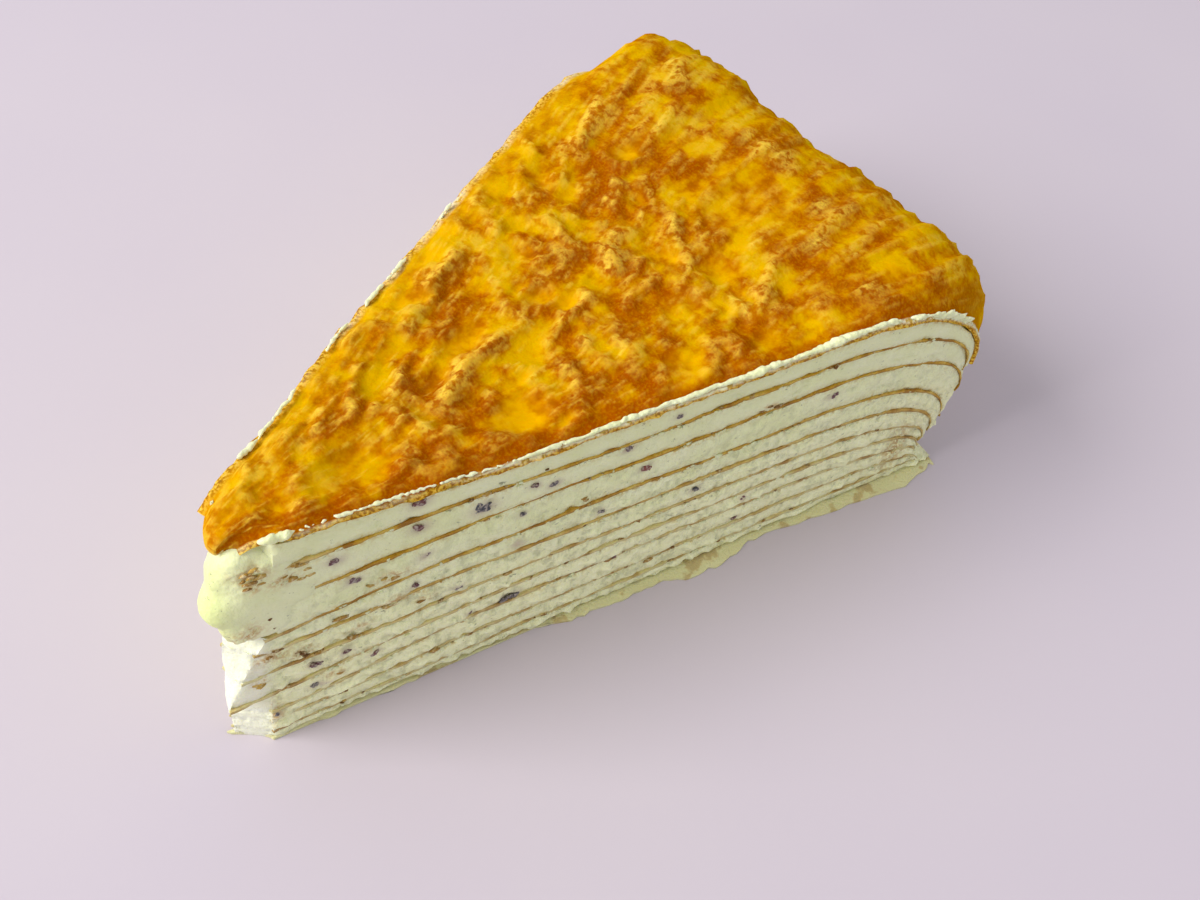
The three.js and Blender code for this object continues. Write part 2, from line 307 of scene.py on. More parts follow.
patches = lumps(tree, 2.8, detail=4)
grain = grain_in(tree)
colour = ramp(tree, patches, (0.34, DARK_BATTER), (0.5, GOLDEN_BATTER), (0.64, PALE_BATTER))
colour = blend(tree, 0.4, colour, ramp(tree, grain, (0.35, 0.4), (0.7, 1.0)), "MULTIPLY")
# Painted shade: the lower half of each crepe's cut edge is darkened, as under an overhang.
edge_shade = ramp(tree, grain, (0.4, 0.2), (0.55, 0.9))
edge_shade = maths(tree, "MULTIPLY", value_of(tree, "shaded_low_edge"), edge_shade)
colour = blend(tree, edge_shade, colour, SHADE_UNDER_CREPE_EDGE)
smeared = ramp(tree, patches, (0.38, 0.3), (0.55, 1.0))
smeared = maths(tree, "MULTIPLY", value_of(tree, "creamy"), smeared)
colour = blend(tree, smeared, colour, BATTER_UNDER_CREAM)
tree.links.new(colour, shader.inputs["Base Color"])
emboss(tree, shader, grain, depth=0.25)

for level in range(1, TOP):
    crepe = block(f"crepe_{level}_sheet", (ALONG_STEPS, ACROSS_STEPS, 2))
    along, across, rise = shares_of(crepe)
    cut = at_end(np.abs(across))
    tip = tip_travel(SHEETS[level]["tip"], across, SHEETS[level]["height"])
    travel = mix(tip, SHOULDER + TURN, along)
    distance, height = sheet(level, travel, across)

    # Its cut edges stand out a little, and are ragged and uneven in thickness.
    wall = np.column_stack((travel, height * 2, across * 40))[cut]
    outward = np.zeros(len(travel))
    outward[cut] = CUT_STANDS_OUT + CUT_RAGGED * rough(wall, 1.3, seed=level)
    outward = outward + CUT_WAVE * np.sin(travel / 4.3 + 1.9 * level + 2 * across) * cut
    thickness = np.full(len(travel), CREPE_THICKNESS)
    thickness[cut] *= 1 + 0.7 * rough(wall * (1, 0.02, 1), 3.5, seed=level + 20)
    height = height + (rise - 0.5) * thickness
    height[cut] += 0.08 * rough(wall, 2.4, seed=level + 40)

    # Its end at the rim is wavy, and the one at the tip is set back a little.
    distance = distance + at_end(along) * RIM_END_WAVE * np.sin(across * 31 + level * 2)
    distance = distance + at_start(along) * TIP_SET_BACK
    settle(crepe, place(distance, across, outward, height))

    # Cream is smeared over the edges of the lowest crepes, and over all of them at the tip.
    low_down = 1 - float(ease(level, 3, 8))
    by_the_tip = 1 - ease(distance, 13, 24)
    mark(crepe, "creamy", np.maximum(0.8 * by_the_tip, 0.7 * low_down))
    # Painted shade along the lower half of each crepe's edge.
    mark(crepe, "shaded_low_edge", 1 - ease(rise, 0, 0.5))
    crepe.data.materials.append(golden)
    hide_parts(f"crepe_{level}")
    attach(crepe, "root")

# The base crepe carries the rest. The knife pressed it against the board, so its edge is
# ragged and sticks out of the near cut, and of the rim, in thin flaps smeared with cream.
OVER_FLOOR = 0.02
NEAR_FLAP, FAR_FLAP, LEAST_FLAP = 1.7, 0.4, 0.25  # how far the flaps stick out
base = block("base_crepe_sheet", (ALONG_STEPS, 40, 2))
along, across, rise = shares_of(base)
travel = mix(tip_travel(SHEETS[0]["tip"], across, SHEETS[0]["height"]), SHOULDER + TURN, along)
distance, _ = sheet(0, travel, across)

# Its flaps are widest along the outer half of the near cut.
by_a_cut = np.abs(across) ** 8
edge = np.column_stack((travel, across * 60, travel * 0))
flap = np.where(across < 0, NEAR_FLAP * ease(travel, 48, 60), FAR_FLAP)
flap = flap + 0.7 * np.sin(travel / 3.6) * ease(travel, 20, 60)
flap = flap + 0.6 * rough(edge, 2.6, seed=3) + 0.2 * rough(edge, 0.9, seed=4)
flap = np.maximum(flap, LEAST_FLAP) * by_a_cut
thickness = CREPE_THICKNESS * (1.2 - 0.5 * by_a_cut) + 0.15 * rough(edge, 2, seed=5)
settle(base, place(distance, across, flap, OVER_FLOOR + rise * thickness))
mark(base, "creamy", np.full(len(rise), 1.8))
mark(base, "shaded_low_edge", np.zeros(len(rise)))
base.data.materials.append(golden)
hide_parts("base_crepe")
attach(base, "root")

# The cream between the crepes is whipped, firm and a little yellow. The knife smeared it
# over the crepes' edges: smooth in the thick upper layers, and torn and full of small
# holes in the lower ones. Bits of fruit in it have coloured it round them.
FRUIT_NEAR = [  # distance, height, radius, tone: 0 is dark red, 1 is blue-grey
    (31.0, 37.4, 1.1, 0.2), (22.0, 32.9, 1.0, 0.3), (31.2, 32.9, 1.1, 0.2),
    (38.5, 32.1, 1.5, 0.95), (44.6, 32.7, 0.7, 0.3), (47.0, 31.6, 0.9, 0.8),
    (56.0, 33.0, 0.8, 0.5), (62.0, 35.6, 0.6, 0.6), (23.9, 27.9, 0.9, 0.4),
    (31.9, 27.6, 0.8, 0.4), (43.5, 27.9, 0.6, 0.8), (59.4, 27.6, 0.8, 0.0),
    (86.4, 27.5, 0.8, 0.3), (30.9, 22.2, 0.7, 0.3), (43.6, 22.5, 0.9, 0.9),
    (54.3, 22.0, 0.7, 0.8), (68.4, 18.4, 0.8, 0.9), (36.5, 18.0, 0.7, 0.7),
    (19.6, 13.6, 0.9, 0.3), (23.1, 13.8, 0.8, 0.3), (26.8, 10.7, 0.7, 0.2),
    (19.6, 9.1, 0.7, 1.0), (20.9, 8.8, 0.6, 1.0), (43.0, 10.6, 0.9, 0.7),
    (44.6, 10.7, 0.9, 0.7), (38.5, 11.0, 0.5, 0.3), (77.5, 11.5, 0.7, 0.2),
    (77.4, 7.2, 0.7, 0.2), (58.4, 10.0, 0.5, 0.2), (15.0, 6.0, 0.6, 0.8),
]
FAR_FRUITS = 28
FRUIT_FAR = []
dice = random.Random(12)
for _ in range(FAR_FRUITS):
    bit = (dice.uniform(24, 92), dice.uniform(5, 34), dice.uniform(0.5, 1.1), dice.random())
    FRUIT_FAR.append(bit)

SMEARS = [  # distance, height, half width, half height: crepe dragged through the cream
    (13.6, 35.3, 1.7, 1.2), (13.6, 33.6, 0.8, 1.0), (16.6, 33.0, 1.6, 1.0),
    (28.2, 26.0, 1.9, 0.9), (13.6, 14.8, 1.0, 1.0), (18.2, 17.4, 1.5, 1.2),
    (14.6, 19.0, 2.2, 1.3), (14.2, 6.5, 1.4, 3.2), (22.0, 10.0, 1.2, 0.6),
    (12.6, 25.6, 1.8, 1.4), (29.0, 20.6, 1.6, 0.9), (32.6, 18.6, 1.2, 0.9),
    (24.5, 18.2, 1.4, 0.6), (11.0, 24.0, 0.8, 0.6), (76.2, 30.2, 1.4, 0.7),
    (104.0, 8.0, 2.0, 5.0),
]
SWELL, UNEVEN, PIT_DEPTH, TEAR_DEPTH = 0.16, 0.22, 0.7, 0.62
LAP_AT_TIP, LAP_ROUGH, LAP_TONGUES = 0.3, 0.12, 0.5
CORNER, CORNER_REACH = 0.45, 0.7  # how much the corners by the tip are rounded off, over a length
DEEP_CREAM, LIGHT_CREAM, LOW_CREAM = (0.80, 0.85, 0.46), (0.86, 0.90, 0.56), (0.94, 0.96, 0.56)
SHADED_LUMP_CREAM, LIT_TIP_CREAM = (0.68, 0.76, 0.28), (0.94, 0.96, 0.72)
BATTER_TINT, CRUMBLED_BATTER = (0.60, 0.44, 0.12), (0.55, 0.33, 0.10)
FRUIT_STAIN = (0.40, 0.25, 0.24)


def bell(value, middle, width):
    """1 at the middle, and smoothly down to 0 a few widths away."""
    return np.exp(-(((value - middle) / width) ** 2))


def smear_at(distance, height):
    """How much crumbled crepe lies in the cream at places on the near cut."""
    share = np.zeros(len(distance))
    for out_from, up, wide, tall in SMEARS:
        share = np.maximum(share, bell(distance, out_from, wide) * bell(height, up, tall))
    return share


def stain_at(distance, height, bits):
    """How much the bits of fruit in a cut have coloured the cream at places on it."""
    share = np.zeros(len(distance))
    for out_from, up, radius, _ in bits:
        wide = 1.1 * radius
        share = np.maximum(share, bell(distance, out_from, wide) * bell(height, up, wide / 1.2))
    return share


def wall_relief(wall, rise, torn, smear):
    """How far cream stands out of a wall: swollen and dragged, with pits, tears and crumbs."""
    swell = np.sin(np.clip(rise, 0, 1) ** 0.8 * math.pi)
    drag = 0.08 * rough(wall * (1, 0.25, 1), 0.9, seed=2) + 0.05 * rough(wall, 0.6, seed=6)
    pits = np.maximum(rough(wall * (1, 0.7, 1), 1.1, seed=3, octaves=2) - 0.38, 0)
    tears = np.maximum(rough(wall * (1, 0.7, 1), 1.1, seed=4), -0.2)
    middle = np.sqrt(np.clip(np.sin(rise * math.pi), 0, 1))
    out = 0.04 + SWELL * swell + UNEVEN * rough(wall, 9, seed=1, octaves=2) + drag
    out = out - PIT_DEPTH * pits + torn * (0.06 + TEAR_DEPTH * middle) * tears
    return out + smear * (0.1 + 0.5 * rough(wall, 0.8, seed=7))


cream, tree, shader = new_material(
    "cream", Roughness=0.42, Subsurface_Weight=0.25, Subsurface_Scale=1.5 * MM,
    Subsurface_Radius=(1.0, 0.9, 0.5), Specular_IOR_Level=0.35,
)
colour = ramp(tree, lumps(tree, 6), (0.35, DEEP_CREAM), (0.7, LIGHT_CREAM))
colour = blend(tree, value_of(tree, "low_down"), colour, LOW_CREAM)
# Painted shade on the tip lump's far-left edge.
colour = blend(tree, value_of(tree, "lump_shade"), colour, SHADED_LUMP_CREAM)
flecks = lumps(tree, 0.55, roughness=0.6)
tinted = ramp(tree, flecks, (0.46, 0.0), (0.62, 1.0))
tinted = maths(tree, "MULTIPLY", value_of(tree, "edge"), tinted)
colour = blend(tree, tinted, colour, BATTER_TINT)
# Painted shade in tiny pits: the pores darken the cream in small dots.
pore_shade = lumps(tree, 1.3, detail=4, stretch=(1, 1, 1.6), roughness=0.7)
colour = blend(tree, 1.0, colour, ramp(tree, pore_shade, (0.29, 0.45), (0.36, 1.0)), "MULTIPLY")
# Where the cream is torn, its colour is lighter on the foam's lumps and darker between them:
# painted light and shade following the foam relief that the bump below also uses.
foam_relief = lumps(tree, 1.1, detail=4, stretch=(1, 1, 0.7), roughness=0.6)
shade = ramp(tree, foam_relief, (0.36, 0.8), (0.48, 1.06), (0.6, 1.16))
torn_share = value_of(tree, "torn")
colour = blend(tree, torn_share, colour, blend(tree, 1.0, colour, shade, "MULTIPLY"))
# Painted highlight: the low tip, which faces the window, is whiter.
colour = blend(tree, value_of(tree, "lit_tip"), colour, LIT_TIP_CREAM)
colour = blend(tree, value_of(tree, "stain"), colour, FRUIT_STAIN)
crumbled = ramp(tree, flecks, (0.42, 0.15), (0.58, 1.0))
crumbled = maths(tree, "MULTIPLY", value_of(tree, "smear"), crumbled)
colour = blend(tree, crumbled, colour, CRUMBLED_BATTER)
tree.links.new(colour, shader.inputs["Base Color"])
fine = lumps(tree, 0.5, detail=4)
knife_drag = lumps(tree, 0.9, detail=2, stretch=(1, 1, 0.25))
foam = maths(tree, "MULTIPLY", foam_relief, maths(tree, "MULTIPLY_ADD", torn_share, 4.0, 0.3))
pattern = weigh(tree, 0.0, (fine, 0.8), (knife_drag, 0.5), (foam, 1.0))
emboss(tree, shader, pattern, depth=0.25, strength=0.6)

for level in range(TOP):
    layer = block(f"cream_{level + 1}_layer", (ALONG_STEPS, ACROSS_STEPS, 14))
    along, across, rise = shares_of(layer)
    sides = []
    for step, other in ((0, "above"), (1, "below")):
        crepe = SHEETS[level + step]
        tip = tip_travel(crepe.get(other, crepe["tip"]), across, crepe["height"])
        travel = mix(tip, SHOULDER + TURN, along)
        sides.append((travel, *sheet(level + step, travel, across)))
    travel, distance, height = (mix(low, high, rise) for low, high in zip(*sides))
    cut = at_end(np.abs(across))
    tip_end, rim_end = at_start(along), at_end(along)
    walls = cut | tip_end | rim_end
    # By the tip, low down, the cream is less torn and is painted lit.
    smooth_lit_tip = (1 - ease(distance, 13.2, 15.5)) * (height < 24)
    torn = (1 - float(ease(level, 5, 9))) * (1 - 0.8 * smooth_lit_tip)
    smear = smear_at(distance, height) * at_end(-across)
    wall = np.column_stack((distance, height, across * 30 + level * 9))[walls]
    outward = np.zeros(len(travel))
    outward[walls] = wall_relief(wall, rise[walls], torn[walls], smear[walls])

    # The layer's lower and upper edges lap over the crepes below and above it.
    lap = np.zeros(len(travel))
    lap[walls] = LAP_ROUGH * rough(wall, 1.7, seed=5)
    lap[walls] += LAP_TONGUES * np.maximum(rough(wall, 4, seed=8, octaves=2) - 0.34, 0)
    lap = lap + LAP_AT_TIP * tip_end + 0.35 * (1 - ease(distance, 13, 20)) * walls
    lap = lap * (at_start(rise) | at_end(rise)) * np.sign(rise - 0.5)

    # Within, it reaches just past those crepes' faces. Its corners at the tip are rounded off.
    inner = 0.85 * CREPE_THICKNESS / 2 * (1 - 2 * rise)
    from_tip = (travel - travel.min()) * cut
    from_cut = HALF_ANGLE * (1 - np.abs(across)) * distance
    moved = distance + rim_end * 0.5 * outward
    moved = moved + tip_end * (CORNER * np.exp(-from_cut / CORNER_REACH) - 0.8 * outward)
    outward = cut * (outward - CORNER * np.exp(-from_tip / CORNER_REACH))
    settle(layer, place(moved, across, outward, height + inner + lap))

    # Crepe colours its edges, and fruit its cuts. It is paler low down, and painted whiter at the
    # tip, a painted highlight where the tip faces the window.
    closeness = np.exp(-np.minimum(rise, 1 - rise) * 9)
    mark(layer, "edge", closeness * walls * ease(moved, 12, 22))
    stained = stain_at(moved, height, FRUIT_NEAR) * at_end(-across)
    stained = stained + stain_at(moved, height, FRUIT_FAR) * at_end(across)
    mark(layer, "stain", 0.65 * stained)
    mark(layer, "smear", smear)
    mark(layer, "low_down", (1 - ease(height, 10, 26)) * ease(moved, 13, 18))
    mark(layer, "torn", torn)
    mark(layer, "lit_tip", smooth_lit_tip)
    layer.data.materials.append(cream)
    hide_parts(f"cream_{level + 1}")
    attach(layer, "root")

# The browned crepe lies on top with its pan side up: orange-brown and crumpled, with
# smooth yellow blisters where it rose off the pan. It hangs over the rim in soft pleats,
# down to a wavy hem. The knife left a pale, crumbly edge.
BROWNED_THICKNESS, THINNEST = 1.3, 0.6
FLAT, SAG, HEM = 32, 8, 4  # parts of its length: on the flat top, over the shoulder, to the hem
HEM_AT_NEAR, HEM_HEIGHT, HEM_WAVE = 22.4, 12.5, 1.5
START, START_ROUND = 10.9, 2.5  # where it starts at the tip, and how much later at the cuts
LOOSE_FROM_NEAR, LOOSE_FROM_FAR = 6, 4  # how far from each cut it is quite loose
PRESSED_IN = 1.7  # how far the knife pressed its near edge in at the tip
FOLD_SHARE, BLISTER_SHARE = 0.72, 0.65  # of the heights and depths that are listed below
WEB, CREASES, PIMPLES = 0.32, 0.17, 0.08  # the heights of its chance wrinkles
RIM_REACH = 111.7  # how far out its underside reaches there
RIM_SWELL = [  # across, how much further out than the reach the rim bulges
    (-1, 1.8), (-0.6, 1.2), (-0.3, 0.3), (0, -0.2), (0.2, 0.4), (0.4, 1.8), (0.6, 3.6),
    (0.75, 4.2), (0.88, 2.5), (1, -1.5),
]
SQUARENESS = 3.6  # of the shoulder, which would be round at 2
SLOPE_STEP = 0.5  # the distance over which its slope is taken
BLISTERS = [  # how far out, how far to the side, half length and width, depth, yellowness
    (27, -3.2, 6.5, 3.6, 1.0, 0.2), (23.6, -2.6, 2.3, 2.2, 0.1, 0.5),
    (38.5, 6.6, 1.0, 1.8, 0.4, 1.0), (40.8, 6.0, 2.2, 2.6, 0.3, 0.2),
    (44.2, -8.6, 4.2, 2.8, 1.0, 1.0), (47.6, -12.4, 1.3, 1.2, 0.5, 0.8),
    (48.2, -5.3, 1.2, 0.9, 0.3, 0.7), (47.3, 2.4, 4.0, 1.8, 0.8, 0.7),
    (40, 0.7, 3.6, 1.6, 0.9, 0), (47, 10.6, 2.8, 1.3, 0.7, 0.9),
    (51.8, 13.8, 2.6, 1.6, 0.5, 0.7), (56.9, 16.3, 1.7, 1.5, 0.4, 0.8),
    (66, 18.3, 1.4, 1.3, 0.4, 0.8), (57.6, 2.3, 2.4, 1.8, 0.6, 0.8),
    (59.2, -0.2, 2.2, 1.4, 0.5, 0.9), (60.8, 8.2, 2.4, 2.6, 0.6, 0.5),
    (63, -15, 2.4, 2.2, 0.5, 0.7), (59.5, -16.6, 2.2, 1.4, 0.4, 0.6),
    (71, 14.8, 2.3, 2.1, 0.6, 0.6), (70, -9.8, 4, 2.6, 0.4, 0.3),
    (74.2, -3.1, 0.9, 2.0, 0.5, 0.9), (76.5, 1.5, 0.7, 0.7, 0.3, 0.7),
    (79, 5.4, 1.3, 1.7, 0.5, 0.2), (83.7, 12.2, 2.3, 2.2, 0.7, 0.9),
    (83.7, 12.3, 1.1, 1.1, 0.1, 1.0), (83.8, 3.2, 1.1, 0.9, 0.4, 1.0),
    (78.5, -8, 3.6, 2.6, 0.5, 0.5), (94.2, 3.2, 1.7, 2.4, 0.4, 0.6),
    (92.6, -21.9, 1.6, 1.9, 0.5, 0.9), (76.4, -22, 2.6, 1.2, 0.4, 0.6),
    (88, -3, 8, 7, 0.5, 0.35), (92.5, 23, 3, 2.4, 0.4, 0.3), (73.5, -18.5, 2.4, 1.5, 0.5, 0.3),
]
FOLDS = [  # height, half width and the crest's points, each how far out and to the side
    (1.3, 1.2, (44.5, 7.8), (49, 10.9), (55, 13.0)),
    (1.2, 1.2, (38, -2.3), (42, -1.6), (46, 0.0), (50, 0.8), (53.5, 1.0)),
    (0.9, 0.8, (33.3, -10), (34.8, -6), (34.2, -1), (33.4, 1.8)),
    (0.8, 0.8, (36.0, -9), (37.5, -3.5), (37.2, 0.5), (38, 3)),
    (0.8, 1.0, (55.5, -1.9), (59, -2.2), (62.5, -1.6)),
    (0.9, 0.8, (46, -13.9), (49, -13), (50.8, -10.5), (53, -7)),
    (0.7, 1.0, (54.2, 5), (53.2, 1), (54.5, -2)),
    (1.3, 1.1, (67.2, -0.8), (68.6, 1.8), (71.5, 3.7), (73, 2.5)),
    (0.8, 0.8, (66.5, -2.8), (69, -2.9), (71, -1.5)),
    (0.8, 1.0, (64, -5.2), (67, -4.2), (69.5, -5.5)),
    (1.3, 1.1, (79.8, 16.8), (83.5, 18.7), (86.8, 20.4)),
    (0.9, 1.0, (87.2, 18.2), (91.5, 20.4)),
    (1.5, 1.2, (96.8, 12.5), (97.8, 15.8), (99.8, 18), (102, 22.3)),
    (0.7, 0.8, (81, 14.4), (81.2, 11), (84, 9.1), (87, 10.6), (87.8, 13.5)),
    (1.1, 0.8, (75.3, -4.7), (77, -1.5), (79, 1)),
    (1.2, 1.0, (76, -15.3), (79, -13.6), (82.3, -12.4)),
    (0.8, 0.8, (71.5, -13.8), (74, -13.6), (75.8, -15.2)),
    (1.3, 1.0, (89, -13.4), (93, -12.3), (97.8, -11.2)),
    (0.9, 1.2, (98.4, -2.5), (98, 2), (98.6, 8)),
    (0.8, 0.7, (56.5, -6.5), (56.2, -9.5), (58, -11.8), (59.8, -10), (59.4, -7.5)),
    (1.0, 0.9, (15, -2.5), (15.8, 0.5), (18.5, 3.5)),
    (0.6, 1.0, (19, -3.5), (20.5, 0.5), (24, 4.5)),
    (0.7, 0.8, (26, 2.6), (31, 5.2)), (0.7, 0.8, (30.5, 2.2), (34.5, 6.6)),
    (0.8, 0.9, (61.5, 12.5), (62.6, 18)), (0.6, 1.0, (69, 17.4), (74, 19.5)),
    (0.8, 0.9, (42.5, 14), (44.4, 9), (45, 5.5)), (0.8, 0.9, (37, 10.5), (41, 10.4), (43, 7)),
    (0.8, 0.9, (62, 5), (66, 3.5), (67, 8), (66, 12)), (0.8, 0.8, (76, 6), (78.5, 9), (80, 7)),
    (0.9, 1.0, (64, -18), (68, -15), (70, -17.5)), (0.7, 0.9, (83, -20), (85, -16), (84, -12)),
    (0.9, 1.0, (90, 12), (93, 14.5), (94, 18)), (0.8, 1.0, (85, -25), (89, -22), (90, -18)),
    (0.7, 0.8, (71.7, -12), (72.4, -7), (73, -3.5)), (0.9, 0.9, (30, -6), (33, -9.5)),
]
TOASTED = [  # how far out, how far to the side, half length and width, darkness
    (13, -2.8, 2.2, 1.2, 0.9), (18.2, -4.2, 2.4, 1.2, 0.9), (29, -6.6, 5, 1.6, 0.9),
    (39.6, 0.4, 4, 1.8, 0.7), (44, -3.8, 6, 2.0, 0.5), (38, -10.8, 5, 1.8, 0.9),
    (47, -14.4, 5, 1.4, 0.7), (28.5, 2.5, 3.5, 1.4, 0.6), (51.5, -12.6, 1.2, 2.0, 0.8),
    (52, 9.8, 5, 1.6, 0.6), (49, -0.8, 2.5, 1.2, 0.8), (67, 13, 3.4, 2.2, 0.5),
    (70, 0.8, 1.8, 1.6, 0.8), (64, 6.5, 3, 2.2, 0.6), (78.5, 12.5, 2.2, 4.0, 0.7),
    (85.5, 6.5, 4, 2.0, 0.9), (73.5, 7.5, 5, 2.4, 0.6), (80.5, -5.5, 2.2, 3.0, 0.8),
    (84, -21.5, 5, 2.4, 0.9), (68.5, -18.6, 4, 1.6, 0.9), (96, 11, 2.4, 3.0, 0.6),
    (72.5, -15.2, 2.6, 1.2, 0.7), (86, 16.6, 4, 1.6, 0.6), (62, -5.0, 3, 2.4, 0.4),
    (96.5, -7.5, 2.5, 1.6, 0.6), (93, -17, 2.6, 1.4, 0.5), (60, -19.6, 4, 1.2, 0.6),
]
BROWNS = (
    (0.12, (0.35, 0.075, 0.0)), (0.34, (0.44, 0.12, 0.0)), (0.52, (0.52, 0.195, 0.0)),
    (0.7, (0.60, 0.275, 0.0)), (0.92, (0.68, 0.375, 0.0)),
)
BLISTER_YELLOW, PAINTED_CREST_HIGHLIGHT = (0.78, 0.40, 0.0), (0.84, 0.56, 0.06)
GRAIN_AND_GLINT_COLOUR, RIM_TAN_AND_EDGE_LIGHT = (0.74, 0.42, 0.0), (0.69, 0.385, 0.002)
DARK_CUT, GOLDEN_CUT, PALE_CUT = (0.34, 0.15, 0.01), (0.62, 0.34, 0.02), (0.74, 0.50, 0.08)
BATTER_CRUMB, CREAM_CRUMB = (0.60, 0.42, 0.10), (0.84, 0.83, 0.60)
PALE_UNDERSIDE = (0.70, 0.52, 0.2)


def crest(x, y, fold):
    """The relief of one fold: round across its crest, and fading out at its ends."""
    tall, wide, *points = fold
    relief = np.zeros(len(x))
    for (x0, y0), (x1, y1) in zip(points, points[1:]):
        run = (x1 - x0) ** 2 + (y1 - y0) ** 2
        share = ((x - x0) * (x1 - x0) + (y - y0) * (y1 - y0)) / run
        share = np.clip(share, 0, 1)
        gap = np.hypot(x - mix(x0, x1, share), y - mix(y0, y1, share))
        relief = np.maximum(relief, bell(gap, 0, wide))
    return tall * relief


def oval(x, y, out_from, side, long, wide):
    """How far places lie from an oval's middle: 1 is on its edge."""
    return np.sqrt(((x - out_from) / long) ** 2 + ((y - side) / wide) ** 2)


def skin_relief(x, y, height):
    """The skin's relief in mm, how golden its blisters are, and its crests."""
    points = np.column_stack((x, y, height))
    warp_x = x + 1.1 * rough(points, 4, seed=21, octaves=2)
    warp_y = y + 1.1 * rough(points, 4, seed=22, octaves=2)
    folds = np.zeros(len(x))
    for fold in FOLDS:
        folds = np.maximum(folds, crest(warp_x, warp_y, fold))
    basin = np.zeros(len(x))
    gold = np.zeros(len(x))
    for *where, depth, yellow in BLISTERS:
        near = oval(warp_x, warp_y, *where)
        basin = basin + depth * (np.clip(1 - near**2, 0, 1) ** 1.5 - 0.35 * bell(near, 1.15, 0.25))
        gold = np.maximum(gold, yellow * ease(1.15 - near, 0, 0.7))
    web = np.maximum(1 - np.abs(rough(points, 6.5, seed=11)) * 4, -0.6)
    creases = np.maximum(1 - np.abs(rough(points, 2.6, seed=12)) * 3.6, -0.7)
    pimples = rough(points, 1.0, seed=13, octaves=2)
    fine = (1 - 0.6 * gold) * (WEB * web + CREASES * creases + PIMPLES * pimples)
    crests = np.maximum(ease(web, 0.7, 0.95), ease(creases, 0.75, 0.98))
    crests = np.maximum(crests, ease(folds, 0.6, 0.9))
    return FOLD_SHARE * folds - BLISTER_SHARE * basin + fine, gold, crests


def pleats(travel, across, y, height):
    """The soft pleats over the rim, in mm, with a narrow one close to the near cut."""
    drape = np.column_stack((y, travel * 0.1, height * 0.05))
    waves = 0.4 * np.sin(17 * across) + 0.25 * np.sin(31 * across + 1)
    waves = waves + 0.6 * (1 - np.abs(rough(drape, 3.4, seed=15)) * 3)
    return np.maximum(waves + 1.2 * bell(across, -0.9, 0.05), -0.3)


browned = block("browned_crepe_skin", (300, 140, 3))
along, across, rise = shares_of(browned, crowding=0.35)
cut = at_end(np.abs(across))

# Its underside follows the flat top and turns over the shoulder.
step = along * (FLAT + SAG + HEM)
start = START + START_ROUND * across**2
travel = mix(start, SHOULDER, np.minimum(step / FLAT, 1))
travel = travel + TURN * np.clip((step - FLAT) / SAG, 0, 1)
turn = turn_at(travel)
distance, height = sheet(TOP, travel, across)
angle = angle_at(distance, across, height)
from_near = distance * (angle + HALF_ANGLE)
from_far = distance * (angle_at(distance, 1, height) - angle)
from_cut = np.minimum(from_near, from_far)

# Away from the cuts it is loose there, stands off the layers below and hangs down to its hem.
loose = ease(from_near, 0, LOOSE_FROM_NEAR) * ease(from_far, 0, LOOSE_FROM_FAR)
swell = np.interp(across, *np.array(RIM_SWELL).T)
boxy = (np.sin(turn) ** SQUARENESS + np.cos(turn) ** SQUARENESS) ** (-1 / SQUARENESS)
bulged = SHOULDER + (RIM_REACH + swell - SHOULDER) * boxy * np.sin(turn)
distance = np.where(travel > SHOULDER, mix(distance, bulged, loose), distance)
fall = SHEETS[TOP]["height"] - SHEETS[TOP]["rim_height"]
height = height + loose * fall * (boxy - 1) * np.cos(turn)
height = height + loose * 1.2 * bell(across, 0.65, 0.3) * np.sin(turn)
down = np.clip((step - FLAT - SAG) / HEM, 0, 1)
distance = distance + (1 - loose) * 1.5 * ease(across, 0, 1) * ease(down, 0, 0.5)
hem = mix(HEM_AT_NEAR, HEM_HEIGHT, ease(across, -1, -0.75))
hem = hem + HEM_WAVE * np.sin(9 * across + 1) * ease(across, -0.9, -0.5)
height = mix(height, hem, down)

# Its body has the relief, which is weaker over the rim, and the pleats. It is thin at the cuts.
x = distance * np.cos(angle)
y = distance * np.sin(angle)
bumps, gold, crests = skin_relief(x, y, height)
over_rim = ease(step, FLAT, FLAT + SAG)
pleat = pleats(travel, across, y, height) * ease(step, FLAT - 2, FLAT + SAG)
pleat = pleat * (1 - 0.5 * ease(step, FLAT + SAG, FLAT + SAG + HEM)) * ease(from_cut, 0, 3)
body = BROWNED_THICKNESS + bumps * (1 - 0.65 * over_rim) + pleat
body = np.maximum(body * (1 - 0.5 * np.exp(-from_cut)), THINNEST)
tip_roll = np.exp(-np.maximum(travel - start, 0) / 1.3)
lift = 0.05 + rise * body * (1 - 0.3 * tip_roll)
edge = np.column_stack((travel, rise * 2.5, across * 9))[cut]
ragged = np.zeros(len(x))
ragged[cut] = 0.15 + 0.35 * rough(edge, 1.1, seed=14) + 0.3 * np.sin(rise[cut] * math.pi)
ragged = ragged + 0.5 * at_end(across)
pressed = PRESSED_IN * (1 - ease(distance, 12.5, 18.5)) * ease(-across, 0.2, 1)
lifted = height + lift * np.cos(turn) - 1.5 * tip_roll
places = place(distance + lift * np.sin(turn), across, ragged, lifted)
places[:, 1] += pressed * MM
settle(browned, places, angle=80)

